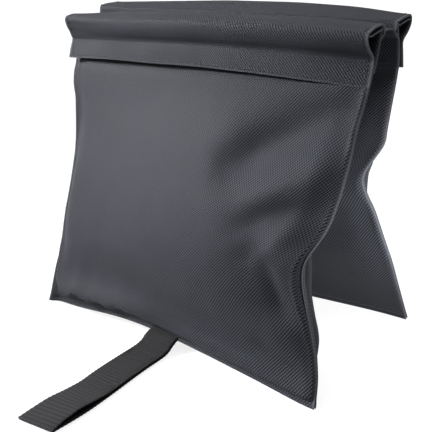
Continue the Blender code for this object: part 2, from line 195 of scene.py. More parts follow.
FRONT = Pouch(
    name="front",
    side=-1,
    shift=0.0,
    knee=1.0,
    lean_left=[(0, 0.066), (0.039, 0.053), (0.086, 0.040), (0.150, 0.026), (0.184, 0.022),
               (0.228, 0.0096)],
    lean_right=[(0, 0.0695), (0.035, 0.0575), (0.078, 0.0585), (0.150, 0.036), (0.193, 0.0190),
                (0.228, 0.0096)],
    inset_left=[(0, 3.4), (28, 4.0), (47, 5.0), (57, 3.6), (70, 1.8), (86, 3.4), (105, 5.0), (125, 6.4),
                (144, 6.8), (163, 5.0), (176, 0)],
    inset=[(0, -1.6), (14, 1.4), (32, 6), (46, 9.6), (65, 15), (79, 17), (91, 16), (103, 11), (112, 7),
           (131, 3), (150, 0)],
    edge=[(0, 1), (14, -2), (32, -1.5), (46, 0), (65, 0), (79, 2.8), (91, 5.6), (103, -1.5), (113, -1.2),
          (131, 0.8), (149, 4.6), (169, 5.0), (191, 1.2), (205, 0), (228, 0)],
    ear=[(0, 4), (30, 4), (52, 1), (70, 0), (120, 0), (150, 3), (170, 2), (190, 0)],
    cheek=[(8, 0, 0), (22, 6.5, 3), (35, 10.5, 7), (50, 7.6, 8), (65, 6.8, 10), (80, 9.5, 10), (95, 7, 5),
           (106, 0, 0)],
    foot_bow=0.001,
    tuck=0.4,
    foot=[(-125, 1.1), (-113, 1.2), (-90, 2.6), (-68, 5.0), (-50, 6.6), (-35, 7.4), (-14, 7.6), (13, 6.7),
          (51, 4.8), (90, 2.3), (112, 0.4), (125, 0)],
    foot_roll=[(-125, 0.4, 48), (-122, 1.8, 36), (-119, 3.2, 25), (-115, 4.4, 15), (-110, 5.4, 11),
               (-100, 5.0, 10), (-90, 5.8, 13.5), (-78, 5.2, 9.0), (-66, 5.2, 11.4), (-54, 5.8, 9.0),
               (-42, 5.2, 11), (-26, 4.0, 8.0), (0, 2.8, 5.8), (60, 2.2, 4.6), (125, 2.0, 4.4)],
    flap_rise=-0.0035,
    ridge=[(-125, -4.2), (-116, -3.4), (-80, -0.9), (-9, 0.4), (40, -0.4), (90, -0.9), (125, -3.2)],
    crown=[(-125, -0.4), (-100, -0.4), (-60, 0.0), (-9, 0.8), (40, 0.4), (90, -0.6), (125, -2.4)],
    end_tuck=0.0036,
    hem=[(-125, 1.6), (-80, 3.2), (-40, 3.0), (0, 3.6), (50, 2.6), (90, 1.0), (125, -1.0)],
    band=[(-125, 1.8), (-60, 0.9), (0, 0.5), (60, 0.0), (95, -0.6), (112, -2.0), (125, -3.2)],
    outer_folds=[
        (-8.0, 14, [(134, 184), (106, 171), (87, 162), (66, 150), (51, 138), (42, 112)]),
        (2.5, 9, [(124, 150), (93, 135), (70, 120), (58, 108)]),
        (-3.6, 9, [(120, 122), (97, 118), (80, 113), (66, 104), (56, 90)]),
        (1.0, 7, [(118, 112), (102, 105), (86, 101), (70, 98)]),
        (-4.8, 13, [(68, 102), (82, 85), (90, 66), (102, 42)]),
        (-3.2, 5, [(83, 94), (89, 80), (94, 64), (106, 40)]),
        (-2.0, 6, [(74, 32), (104, 20), (122, 13)]),
        (1.4, 4, [(10, 19), (28, 17), (62, 15), (117, 8)]),
        (3.4, 9, [(-128, 8), (-100, 15), (-60, 19), (-20, 21), (20, 16)]),
    ],
    inner_folds=[(-2.0, 12, [(-60, 60), (0, 80), (70, 60)])],
    crest=[(0, 60), (52, 44), (76, 46), (110, 42), (137, 28), (187, 42)],
    belly=[(0, 0), (14, 1.4), (35, 3.2), (50, 4.2), (66, 5.0), (78, 6.8), (90, 8.8), (110, 11.2),
           (150, 10), (184, 2), (200, 0)],
)
REAR = Pouch(
    name="rear",
    side=1,
    shift=0.0018,
    knee=0.15,
    lean_left=[(0, 0.0780), (0.056, 0.056), (0.110, 0.038), (0.160, 0.025), (0.204, 0.0165),
               (0.228, 0.0096)],
    lean_right=[(0, 0.0780), (0.056, 0.049), (0.100, 0.030), (0.127, 0.0175), (0.204, 0.0165),
                (0.228, 0.0096)],
    inset_left=[(0, 0), (60, 2), (130, 3), (180, 0)],
    inset=[(0, 0), (56, 4.4), (100, 14.0), (115, 18), (127, 18.5), (138, 12.5), (149, 6.5), (160, 5),
           (190, 1.5), (204, 0)],
    edge=[(0, 0), (56, -1.5), (100, 0), (115, -2.3), (127, -4), (138, -1.4), (149, 3), (160, 0.6),
          (180, 0)],
    ear=[(0, 2), (60, 0), (228, 0)],
    cheek=[(86, 0, 0), (102, 3, 3), (116, 6, 6), (127, 9, 8), (135, 10.5, 8), (143, 6, 4), (152, 0, 0)],
    foot_bow=0.012,
    tuck=1.0,
    foot=[(-125, 0), (-70, 0.8), (-20, 0), (30, 0.4), (80, 0), (125, 0)],
    foot_roll=[(-125, 2.0, 4.0), (-80, 3.6, 5.0), (-50, 2.6, 3.4), (0, 3.4, 4.6), (40, 2.4, 3.4),
               (90, 3.0, 4.4), (125, 2.0, 3.4)],
    flap_rise=0.0045,
    ridge=[(-125, 3.4), (-100, 2.4), (-60, 1.6), (0, 1.4), (60, 0.8), (125, -1.6)],
    crown=[(-125, 0.0), (-60, 1.8), (-12, 3.0), (47, 2.6), (90, 0.6), (125, -3.4)],
    end_tuck=0.0,
    hem=[(-125, 0), (-50, 1.2), (30, 0.4), (125, -0.8)],
    band=[(-125, 0.5), (0, 0.3), (90, 0.0), (110, -2.0), (125, -4.6)],
    outer_folds=[
        (-3.0, 10, [(124, 150), (90, 140), (55, 142), (20, 150)]),
        (2.2, 9, [(122, 128), (88, 118), (50, 108), (22, 88)]),
        (-3.2, 9, [(118, 108), (90, 98), (62, 80), (48, 52)]),
        (-2.4, 10, [(-124, 120), (-92, 112), (-60, 96), (-44, 70)]),
        (1.6, 7, [(-120, 94), (-92, 84), (-72, 66)]),
        (-1.4, 6, [(-30, 20), (20, 26), (70, 16)]),
    ],
    inner_folds=[
        (2.6, 9, [(124, 122), (96, 116), (66, 108), (40, 104)]),
        (-1.6, 10, [(120, 96), (92, 84), (66, 76)]),
        (1.4, 9, [(118, 205), (112, 180), (104, 150)]),
    ],
    crest=[(0, 20), (110, 0), (228, 0)],
    belly=[(0, 0), (20, 1), (70, 4), (120, 4), (190, 0)],
)


# ---- small tools ----


def points(*axes):
    """Rows of points, or of chart places, from grids of their coordinates."""
    return np.stack(axes, axis=-1).reshape(-1, len(axes))


def smooth(t):
    t = np.clip(t, 0.0, 1.0)
    return t * t * (3 - 2 * t)


def hump(x, reach):
    return np.exp(-((x / reach) ** 2))


def follow(pairs, x, ease=0.010, column=1):
    """Smooth value at x from rows of (x, value, ...) in millimetres."""
    table = np.array(pairs, float).T / 1000
    steps = np.linspace(-ease, ease, 7)
    return np.mean([np.interp(x + step, table[0], table[column]) for step in steps], axis=0)


def ripple(x, z, scale, seed):
    """Fixed noise from -1 to 1 whose waves are about scale long."""
    flat = [noise.noise((a / scale, b / scale, seed)) for a, b in zip(x.ravel(), z.ravel())]
    return np.array(flat).reshape(x.shape)


def stroke(x, z, height, reach, path):
    """Height of one fold: a rounded ridge or valley along path, which fades at both of its ends."""
    path = np.array(path, float) / 1000
    nearest = np.full(x.shape, np.inf)
    along = np.zeros(x.shape)
    done = 0.0
    for start, end in zip(path[:-1], path[1:]):
        run = end - start
        length = np.hypot(*run)
        t = np.clip(((x - start[0]) * run[0] + (z - start[1]) * run[1]) / length**2, 0, 1)
        away = np.hypot(x - start[0] - t * run[0], z - start[1] - t * run[1])
        closer = away < nearest
        nearest = np.where(closer, away, nearest)
        along = np.where(closer, done + t * length, along)
        done += length
    ends = smooth(along / done / 0.22) * smooth((1 - along / done) / 0.35)
    return height / 1000 * ends * hump(nearest, reach / 1000)


def softened(heights):
    """A grid of heights with its creases rounded. A single row of heights stays as it is."""
    for _ in range(3 if heights.ndim == 2 else 0):
        wide = np.pad(heights, 1, mode="edge")
        heights = (wide[1:-1, :-2] + wide[1:-1, 2:] + wide[:-2, 1:-1] + wide[2:, 1:-1] + 2 * heights) / 6
    return heights


def sum_along(t, stops, values):
    """Value at t between stops, where each stop's value is an array of t's shape."""
    result = values[0]
    for near, far, before, after in zip(stops, stops[1:], values, values[1:]):
        result = result + (after - before) * np.clip((t - near) / (far - near), 0, 1)
    return result


def lengths_along(line):
    """Distance along a line of points at each of them."""
    return np.concatenate([[0], np.cumsum(np.linalg.norm(np.diff(line, axis=0), axis=1))])


def stations(length, step, edge=0.009, edge_step=0.0009):
    """Distances from 0 to length, closer together near both ends."""
    rim = np.arange(0, edge, edge_step)
    middle = np.linspace(edge, length - edge, round((length - 2 * edge) / step) + 1)
    return np.concatenate([rim, middle, length - rim[::-1]])


def finished(piece, slot, body, *nodes):
    """Settle a piece: its modifiers are applied, and it takes its CAD nodes and its body. Its slot is not
    used.
    """
    bpy.context.view_layer.update()
    seen = piece.evaluated_get(bpy.context.evaluated_depsgraph_get())
    mesh = bpy.data.meshes.new_from_object(seen)
    piece.modifiers.clear()
    piece.data = mesh
    piece.data.shade_smooth()
    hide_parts(*nodes)
    if body:
        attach(piece, body)
    return piece


def new_piece(name, vertices, faces, look, places=None):
    mesh = bpy.data.meshes.new(name)
    mesh.from_pydata(np.asarray(vertices).tolist(), [], faces)
    mesh.materials.append(look)
    if places is not None:
        chart = mesh.uv_layers.new(name=WEAVE_MAP)
        corner_of = np.zeros(len(mesh.loops), int)
        mesh.loops.foreach_get("vertex_index", corner_of)
        chart.data.foreach_set("uv", np.asarray(places)[corner_of].ravel())
    mesh.shade_smooth()
    piece = bpy.data.objects.new(name, mesh)
    bpy.context.scene.collection.objects.link(piece)
    return piece


def grid_faces(rows, columns):
    corners = (row * columns + column for row in range(rows - 1) for column in range(columns - 1))
    return [(a, a + 1, a + columns + 1, a + columns) for a in corners]


def slab_faces(rows, columns):
    """Faces of a closed slab: a grid, the same grid again behind it, and a wall round their border."""
    count = rows * columns
    faces = []
    for face in grid_faces(rows, columns):
        faces.append(face)
        faces.append(tuple(corner + count for corner in face[::-1]))
    border = [*range(columns), *range(2 * columns - 1, count, columns)]
    border += [*range(count - 2, count - columns - 1, -1), *range(count - 2 * columns, 0, -columns)]
    for a, b in zip(border, border[1:] + border[:1]):
        faces.append((a + count, b + count, b, a))
    return faces


def cloth_sheet(name, across, along, place, look, thickness, side, ends_highlight=0.25):
    """A sheet of cloth over a grid of (across, along) distances, with thickness and rounded edges.

    Its sides carry a painted highlight, lighter as if they caught the light, and its other two edges do
    too, by the share given for the ends.
    """
    s, t = np.meshgrid(across, along)
    faces = [face[::side] for face in grid_faces(*s.shape)]
    piece = new_piece(name, points(*place(s, t)), faces, look, points(s, t))
    border = np.minimum(s - across[0], across[-1] - s)
    ends = np.minimum(t - along[0], along[-1] - t)
    # Painted highlight: how much each point is lightened, strongest at the sides, as if the cut edges
    # caught the light.
    pale = np.maximum(hump(border, EDGE_HIGHLIGHT_REACH), ends_highlight * hump(ends, EDGE_HIGHLIGHT_REACH))
    rim = piece.data.attributes.new(EDGE_HIGHLIGHT_MAP, "FLOAT", "POINT")
    rim.data.foreach_set("value", pale.ravel().astype(np.float32))
    solid = piece.modifiers.new("thickness", "SOLIDIFY")
    solid.thickness = thickness
    solid.offset = 1
    solid.use_even_offset = False
    edge = piece.modifiers.new("edge", "BEVEL")
    edge.width = thickness * 0.3
    edge.segments = 2
    edge.limit_method = "ANGLE"
    edge.angle_limit = math.radians(70)
    return piece


def stitches(name, line, outward, look, pitch=0.0030, length=0.0022, radius=0.00026):
    """A row of thread stitches along a line of points, each a small capsule that dips at its ends."""
    run = lengths_along(line)
    vertices, faces = [], []
    sides = 6
    rings = [(-0.5, 0.35, -0.5), (-0.34, 0.9, 0.1), (0, 1.0, 0.35), (0.34, 0.9, 0.1), (0.5, 0.35, -0.5)]

    def at(distance):
        return np.array([np.interp(distance, run, column) for column in line.T])

    for middle in np.arange(pitch / 2, run[-1], pitch):
        centre = at(middle)
        step = at(middle + pitch / 4) - at(middle - pitch / 4)
        along = step / max(np.linalg.norm(step), 1e-9)
        up = outward - along * np.dot(outward, along)
        up /= np.linalg.norm(up)
        wide = np.cross(along, up)
        base = len(vertices)
        for place, size, rise in rings:
            spot = centre + along * place * length + up * rise * radius
            for k in range(sides):
                angle = 2 * math.pi * k / sides
                turn = wide * math.cos(angle) + up * math.sin(angle)
                vertices.append(spot + turn * radius * size)
        for ring in range(len(rings) - 1):
            for k in range(sides):
                a, b = base + ring * sides + k, base + ring * sides + (k + 1) % sides
                faces.append((a, b, b + sides, a + sides))
        faces.append(tuple(range(base + sides - 1, base - 1, -1)))
        last = base + (len(rings) - 1) * sides
        faces.append(tuple(range(last, last + sides)))
    return new_piece(name, vertices, faces, look)


# ---- the pouch's shape ----


def lean(profile, z):
    """Distance of the middle sheet from the saddle's plane at height z, eased at its bends."""
    heights, distances = zip(*profile)
    z = np.clip(z, heights[0], heights[-1])
    ease = np.minimum(LEAN_EASE, np.minimum(z - heights[0], heights[-1] - z))
    steps = np.linspace(-1, 1, 9)
    return np.mean([np.interp(z + ease * step, heights, distances) for step in steps], axis=0)


def middle_sheet(pouch, s, t):
    """Where a pouch's middle sheet is, s along the saddle and t up from the foot: x, distance, z."""
    u, v = s / WIDTH, t / TOP
    foot = follow(pouch.foot, (u - 0.5) * WIDTH)
    z = foot + v * (TOP - foot)
    left = -WIDTH / 2 + follow(pouch.inset_left, z, ease=0.006)
    x = left + u * (WIDTH / 2 - follow(pouch.inset, z, ease=0.005) - left) + pouch.shift
    side_lean = lean(pouch.lean_left, z) * (1 - smooth(u)) + lean(pouch.lean_right, z) * smooth(u)
    pushed = follow(pouch.edge, z, ease=0.004) * hump(WIDTH - s, EDGE_REACH)
    pushed = pushed + follow(pouch.ear, z, ease=0.004) * hump(s, EAR_REACH)
    middle = np.sin(np.pi * u) ** 2
    tucked = pouch.tuck / 1000 * (1 - smooth(t / TUCK_HEIGHT)) * smooth(u / 0.04) * (1 - 0.8 * smooth(u))
    distance = side_lean + pushed - pouch.foot_bow * middle * (1 - v) ** 2 - tucked
    z = z + follow(pouch.ridge, (u - 0.5) * WIDTH) * smooth((z - 0.200) / 0.024)
    return x, distance, z


def cheek(pouch, s, z):
    """How far the cloth near the right edge goes past it, along the saddle and away from the middle."""
    away = np.maximum(WIDTH - s - STITCH_IN, 0)
    peak = away / CHEEK_WIDE
    wide = follow(pouch.cheek, z, ease=0.006) * peak * np.exp(1 - peak)
    deep = follow(pouch.cheek, z, ease=0.006, column=2) * smooth(away / CHEEK_DEEP)
    return wide, deep * hump(away, CHEEK_REACH)


def knee(pouch, t):
    """How strongly the right seam is folded in at height t."""
    return pouch.knee * hump(t - KNEE_HEIGHT, KNEE_REACH)


def from_seam(pouch, s, t):
    """Distance to the nearest sewn edge, rounded at the corners."""
    right = (WIDTH - s) * (SIDE_SEAM - KNEE_MARGIN * knee(pouch, t))
    to_side = np.maximum(np.minimum(s * SIDE_SEAM, right), 1e-6)
    to_foot = np.maximum(t, 1e-6)
    return (to_side**-3.0 + to_foot**-3.0) ** (-1 / 3)


def swell(pouch, s, t):
    """How full the pouch is, from 0 at its seams to 1, and less towards its mouth."""
    risen = smooth((from_seam(pouch, s, t) - SEAM_MARGIN) / SWELL_RUN)
    return risen * (1 - (1 - MOUTH_SWELL) * smooth((t / TOP - 0.30) / 0.60))


def belly(pouch, x, z):
    """The uneven part of the bulge: it climbs slowly from the left edge and drops to the right one."""
    crest = follow(pouch.crest, z, 0.020)
    climb = smooth((x + WIDTH / 2) / (crest + WIDTH / 2 + 0.02))
    fall = np.clip((x - crest) / (WIDTH / 2 - crest), 0, 1)
    dropped = 1.1 * fall**2 / (fall + 0.1)
    return follow(pouch.belly, z) * climb * (1 - dropped) ** 1.5


def folds(pouch, s, t, x, z, strokes, seed):
    """Folds, puckers along the stitching and slow unevenness, all gone at the edges and the mouth."""
    near = from_seam(pouch, s, t)
    total = softened(sum(stroke(x, z, *each) for each in strokes))
    total += BROAD_WAVE * ripple(x, z, BROAD_LENGTH, seed)
    total += SMALL_WAVE * ripple(x, z, SMALL_LENGTH, seed + 3)
    pucker = PUCKER * ripple(s + 0 * t, t + 0 * s, PUCKER_LENGTH, seed + 7)
    pucker *= smooth((near - 0.0035) / 0.003) * (1 - smooth((near - 0.008) / 0.012))
    roll = PUFF * smooth((near - STITCH_IN / 1.5) / 0.0042)
    bent = knee(pouch, t) * smooth((x - 0.07) / 0.02)
    roll += KNEE_ROLL * bent * smooth((near - 0.0044) / 0.0034) * hump(near, 0.050)
    roll -= KNEE_GROOVE * bent * hump(near - STITCH_IN - 0.0004, 0.0014)
    seen = 1 - smooth((z - FLAP_COVERS) / 0.014)
    rim = 0.0006 * (1 - smooth((near - 0.0020) / 0.0012))
    return (total * smooth((near - 0.004) / 0.010) + pucker + roll) * seen + rim


def outer_face(pouch, s, t, out=0.0):
    """Inner face of the outer cloth, moved out by a distance."""
    x, distance, z = middle_sheet(pouch, s, t)
    depth = GAP / 2 + BULGE_OUT * swell(pouch, s, t)
    depth = depth + folds(pouch, s, t, x, z, pouch.outer_folds, seed=1 + pouch.side)
    depth = depth + belly(pouch, x, z) * smooth((from_seam(pouch, s, t) - STITCH_IN) / 0.020)
    wide, deep = cheek(pouch, s, z) if pouch is REAR else (0, 0)
    start = follow(pouch.foot_roll, s - WIDTH / 2, ease=0.0025, column=2)
    over = follow(pouch.foot_roll, s - WIDTH / 2, ease=0.0025) * smooth((t - start) / 0.0018)
    over = over * hump(np.maximum(t - start, 0), 0.018) * smooth((WIDTH - s) / 0.008)
    return x + wide, SADDLE_Y + pouch.side * (distance + depth + deep + out + over), z - 0.15 * over


def inner_face(pouch, s, t, out=0.0):
    """Inner face of the inner cloth, moved towards the saddle's plane by a distance."""
    x, distance, z = middle_sheet(pouch, s, t)
    depth = GAP / 2 + BULGE_IN * swell(pouch, s, t)
    depth = depth + folds(pouch, s, t, x, z, pouch.inner_folds, seed=5 + pouch.side)
    wide, deep = cheek(pouch, s, z) if pouch is FRONT else (0, 0)
    return x + wide, SADDLE_Y + pouch.side * (distance - depth - deep - out), z


def mouth(pouch):
    """Height of the outer cloth's top edge, measured up the cloth."""
    return TOP - MOUTH_DROP + pouch.flap_rise


# ---- materials ----


class Look:
    """One procedural material's node tree, written as nested calls."""

    def __init__(self, name, roughness):
        self.made = bpy.data.materials.new(name)
        self.made.use_nodes = True
        self.tree = self.made.node_tree
        self.shader = self.tree.nodes["Principled BSDF"]
        self.shader.inputs["Roughness"].default_value = roughness

    def node(self, kind, **settings):
        made = self.tree.nodes.new(kind)
        for name, value in settings.items():
            setattr(made, name, value)
        return made

    def join(self, value, socket):
        if isinstance(value, (int, float, tuple)):
            socket.default_value = value
        else:
            self.tree.links.new(value, socket)

    def maths(self, operation, *values):
        made = self.node("ShaderNodeMath", operation=operation)
        for value, socket in zip(values, made.inputs):
            self.join(value, socket)
        return made.outputs[0]

    def chart(self):
        """The cloth's own distances across and along, in metres."""
        made = self.node("ShaderNodeUVMap", uv_map=WEAVE_MAP)
        split = self.node("ShaderNodeSeparateXYZ")
        self.join(made.outputs["UV"], split.inputs[0])
        return split.outputs[0], split.outputs[1]

    def place(self):
        return self.node("ShaderNodeTexCoord").outputs["Object"]

    def noise(self, scale, detail=3.0, vector=None):
        made = self.node("ShaderNodeTexNoise")
        self.join(self.place() if vector is None else vector, made.inputs["Vector"])
        made.inputs["Scale"].default_value = scale
        made.inputs["Detail"].default_value = detail
        return made.outputs["Fac"]

    def wave(self, distance, pitch):
        """From -1 to 1, once each pitch."""
        return self.maths("SINE", self.maths("MULTIPLY", distance, 2 * math.pi / pitch))

    def between(self, share, dark, light):
        made = self.node("ShaderNodeMix", data_type="RGBA")
        self.join(share, made.inputs["Factor"])
        self.join(dark if not isinstance(dark, tuple) else (*dark, 1), made.inputs["A"])
        self.join(light if not isinstance(light, tuple) else (*light, 1), made.inputs["B"])
        return made.outputs["Result"]

    def bump(self, height, distance, strength=1.0):
        made = self.node("ShaderNodeBump")
        made.inputs["Distance"].default_value = distance
        made.inputs["Strength"].default_value = strength
        self.join(height, made.inputs["Height"])
        self.join(made.outputs["Normal"], self.shader.inputs["Normal"])

    def colour(self, value):
        self.join(value, self.shader.inputs["Base Color"])

    def rough(self, value):
        self.join(value, self.shader.inputs["Roughness"])

    def set(self, **values):
        for name, value in values.items():
            self.shader.inputs[name.replace("_", " ")].default_value = value


def canvas_look():
    """Coated polyester canvas: a fine basket of yarns with one diagonal stronger than the other."""
    look = Look("charcoal_canvas", 0.7)
    across, along = look.chart()
    along = look.maths("MULTIPLY", along, WEAVE_SQUASH)
    rise = look.wave(look.maths("ADD", across, along), WEAVE_PITCH)
    fall = look.wave(look.maths("SUBTRACT", across, along), WEAVE_PITCH)
    yarns = look.maths("ADD", look.maths("MULTIPLY", rise, 0.34), look.maths("MULTIPLY", fall, 0.66))
    slow = look.noise(38.0, 3.0)
    fine = look.noise(900.0, 2.0)
    shade = look.maths("MULTIPLY_ADD", yarns, 0.95, 0.5)
    shade = look.maths("ADD", shade, look.maths("MULTIPLY_ADD", slow, 0.26, -0.13))
    shade = look.maths("ADD", shade, look.maths("MULTIPLY_ADD", fine, 0.30, -0.15))
    # Painted highlight: the cloth turns lighter at its cut edges, as if they caught the light.
    rim = look.node("ShaderNodeAttribute", attribute_name=EDGE_HIGHLIGHT_MAP).outputs["Fac"]
    cloth = look.between(shade, CLOTH_DARK, CLOTH_LIGHT)
    look.colour(look.between(look.maths("MULTIPLY", rim, 0.6), cloth, EDGE_HIGHLIGHT_COLOUR))
    look.rough(look.maths("MULTIPLY_ADD", slow, 0.16, 0.58))
    height = look.maths("ADD", yarns, look.maths("MULTIPLY", fine, 0.5))
    look.bump(height, 0.00005)
    look.set(Sheen_Weight=0.02, Sheen_Roughness=0.5, Specular_IOR_Level=0.06)
    return look.made


def webbing_look():
    """Woven strap: cross ribs, each made of small slanted yarns."""
    look = Look("dark_webbing", 0.8)
    across, along = look.chart()
    slant = look.maths("MULTIPLY", across, 0.55)
    yarns = look.wave(look.maths("MULTIPLY_ADD", along, 1.0, slant), 0.0007)
    ribs = look.wave(along, RIB_PITCH)
    fine = look.noise(1400.0, 2.0)
    shade = look.maths("MULTIPLY_ADD", ribs, 0.24, 0.48)
    shade = look.maths("ADD", shade, look.maths("MULTIPLY", yarns, 0.10))
    shade = look.maths("ADD", shade, look.maths("MULTIPLY_ADD", fine, 0.30, -0.15))
    woven = look.between(shade, WEBBING_DARK, WEBBING_LIGHT)
    # Painted shade: the strap darkens towards the pouch, where the pouch shades it.
    split = look.node("ShaderNodeSeparateXYZ")
    look.join(look.place(), split.inputs[0])
    near = look.maths("MULTIPLY_ADD", split.outputs[1], 13.0, 1.60)
    look.colour(look.between(look.maths("MULTIPLY", near, 0.60), woven, WEBBING_SHADE))
    look.bump(look.maths("ADD", yarns, fine), 0.00012, 0.8)
    look.set(Sheen_Weight=0.02, Sheen_Roughness=0.5, Specular_IOR_Level=0.10)
    return look.made


def thread_look():
    look = Look("charcoal_thread", 0.6)
    twist = look.noise(2600.0, 2.0)
    look.colour(look.between(twist, THREAD_DARK, THREAD_LIGHT))
    look.bump(twist, 0.00008)
    look.set(Specular_IOR_Level=0.2)
    return look.made


def tape_look():
    """Hook-and-loop: a fuzzy, uneven pile."""
    look = Look("black_hook_and_loop", 0.9)
    fuzz = look.noise(1800.0, 4.0)
    tufts = look.noise(500.0, 3.0)
    look.colour(look.between(fuzz, TAPE_DARK, TAPE_LIGHT))
    look.bump(look.maths("ADD", fuzz, tufts), 0.0004)
    look.set(Sheen_Weight=0.04, Sheen_Roughness=0.4, Specular_IOR_Level=0.1)
    return look.made


def film_look():
    look = Look("clear_film", 0.25)
    haze = look.noise(60.0, 4.0)
    look.colour(look.between(haze, FILM_DARK, FILM_LIGHT))
    look.bump(haze, 0.0015)
    look.rough(look.maths("MULTIPLY_ADD", haze, 0.25, 0.18))
    look.set(Transmission_Weight=0.35, Specular_IOR_Level=0.5)
    return look.made


def sand_look():
    look = Look("dry_sand", 0.95)
    grains = look.node("ShaderNodeTexVoronoi", feature="F1")
    look.join(look.place(), grains.inputs["Vector"])
    grains.inputs["Scale"].default_value = 1400.0
    split = look.node("ShaderNodeSeparateColor")
    look.join(grains.outputs["Color"], split.inputs[0])
    look.colour(look.between(split.outputs[0], SAND_DARK, SAND_LIGHT))
    look.bump(grains.outputs["Distance"], 0.0006)
    return look.made


def floor_look():
    look = Look("pale_floor", 0.9)
    grain = look.noise(3.0, 2.0)
    look.colour(look.between(grain, FLOOR_DARK, FLOOR_LIGHT))
    look.set(Specular_IOR_Level=0.1, Emission_Color=(1, 1, 1, 1), Emission_Strength=FLOOR_GLOW)
    return look.made


# ---- the pouches ----


def outer_panel(pouch):
    name = f"{pouch.name}_outer_panel"
    panel = cloth_sheet(f"{name}_cloth", stations(WIDTH, 0.0022), stations(mouth(pouch), 0.0022),
                        partial(outer_face, pouch), CANVAS, CLOTH, -pouch.side)
    finished(panel, "canvas", f"{pouch.name}_pouch", name)


def inner_panel(pouch):
    name = f"{pouch.name}_inner_panel"
    panel = cloth_sheet(f"{name}_cloth", stations(WIDTH, 0.0022), stations(TOP, 0.0022),
                        partial(inner_face, pouch), CANVAS, CLOTH, pouch.side)
    finished(panel, "canvas", f"{pouch.name}_pouch", name)


def seam_line(pouch, face, top):
    """Points down one side, along the foot and up the other side, at the stitches' place."""
    down = np.arange(top - 0.002, STITCH_IN, -0.0015)
    foot = np.arange(STITCH_IN, WIDTH - STITCH_IN, 0.0015)
    right = STITCH_IN / (SIDE_SEAM - KNEE_MARGIN * knee(pouch, down))
    s = np.concatenate([np.full(len(down), STITCH_IN / SIDE_SEAM), foot, WIDTH - right[::-1]])
    t = np.concatenate([down, np.full(len(foot), STITCH_IN), down[::-1]])
    return points(*face(pouch, s, t, CLOTH))


def seam_stitches(pouch):
    outer = seam_line(pouch, outer_face, mouth(pouch))
    row = stitches(f"{pouch.name}_seam_stitches", outer, (0, pouch.side, 0.15), THREAD, radius=0.0002)
    finished(row, "thread", f"{pouch.name}_pouch", f"{pouch.name}_seam_thread")
    inner = seam_line(pouch, inner_face, TOP - 0.002)
    row = stitches(f"{pouch.name}_tunnel_seam_stitches", inner, (0, -pouch.side, -0.15), THREAD,
                   radius=0.0002)
    finished(row, "thread", f"{pouch.name}_pouch")


# ---- flaps ----


def flap_profile(pouch):
    """The flap's inner face as (distance, height), from its sewn edge to the foot of its band."""
    top = TOP + GAP
    edge = top + pouch.flap_rise
    return np.array([
        (FLAP_START - 0.0016, top - 0.0052),
        (FLAP_START - 0.0014, top - 0.0020),
        (FLAP_START - 0.0004, top - 0.0002),
        (FLAP_START + 0.0020, top + 0.0002),
        (FLAP_OUT - 0.0100, (top + edge) / 2 + 0.0005),
        (FLAP_OUT - 0.0036, edge - 0.0001),
        (FLAP_OUT - 0.0010, edge - 0.0012),
        (FLAP_OUT - 0.0002, edge - 0.0038),
        (FLAP_OUT - 0.0007, edge - 0.0072),
        (FLAP_OUT - 0.0028, edge - 0.0106),
        (FLAP_OUT - 0.0058, edge - 0.0136),
        (FLAP_OUT - 0.0077, edge - 0.0168),
        (FLAP_OUT - 0.0075, edge - 0.0198),
        (FLAP_OUT - 0.0063, edge - 0.0238),
        (FLAP_OUT - 0.0050, edge - 0.0284),
        (FLAP_OUT - 0.0038, edge - BAND_DROP),
    ])


def curve_through(stops, steps):
    """Points of a smooth curve through the given ones, steps to each stretch."""
    padded = np.vstack([2 * stops[0] - stops[1], stops, 2 * stops[-1] - stops[-2]])
    out = []
    for a, b, c, d in zip(padded, padded[1:], padded[2:], padded[3:]):
        for t in np.linspace(0, 1, steps, endpoint=False):
            out.append(0.5 * (2 * b + (c - a) * t + (2 * a - 5 * b + 4 * c - d) * t**2
                              + (3 * b - a - 3 * c + d) * t**3))
    return np.array(out + [stops[-1]])


def flap_top_rise(pouch, x, lifted):
    """Rise of the flap's top at x: the ridge's where lifted is 0, and the outer edge's where it is 1."""
    return follow(pouch.ridge, x) * (1 - lifted) + follow(pouch.crown, x) * lifted


def band_push(pouch, x, t, d, below):
    """How far the flap's cloth is pushed out, at distance d and so far below the flap's outer edge."""
    onto_band = smooth(t / 0.030 - 0.6)
    seed = 11 + pouch.side
    sway = BAND_SWAY * ripple(x, 0 * x, SWAY_LENGTH, seed)
    sway = sway + BAND_FLUTTER * ripple(x, t, FLUTTER_LENGTH, seed + 4)
    sway = sway * onto_band * smooth(below / 0.006) * (1 - 0.6 * smooth((below - 0.020) / 0.012))
    crease = hump(x + 0.094, 0.016) * hump(below - 0.006, 0.004)
    crease += 0.9 * hump(x - 0.010, 0.070) * hump(below - 0.0140, 0.0036)
    middle = 1 - smooth((np.abs(x) - 0.075) / 0.045)
    filled = middle * smooth((below - 0.003) / 0.004) * (FLAP_OUT - d - sway)
    drawn_in = pouch.end_tuck * hump(x + WIDTH / 2, 0.022)
    drawn_in = drawn_in * smooth((below - 0.001) / 0.005) * (1 - smooth((below - 0.009) / 0.006))
    push = VALLEY_FILL * filled - CREASE * crease - drawn_in
    push = push + follow(pouch.band, x) * smooth(below / 0.009)
    return sway + push * onto_band


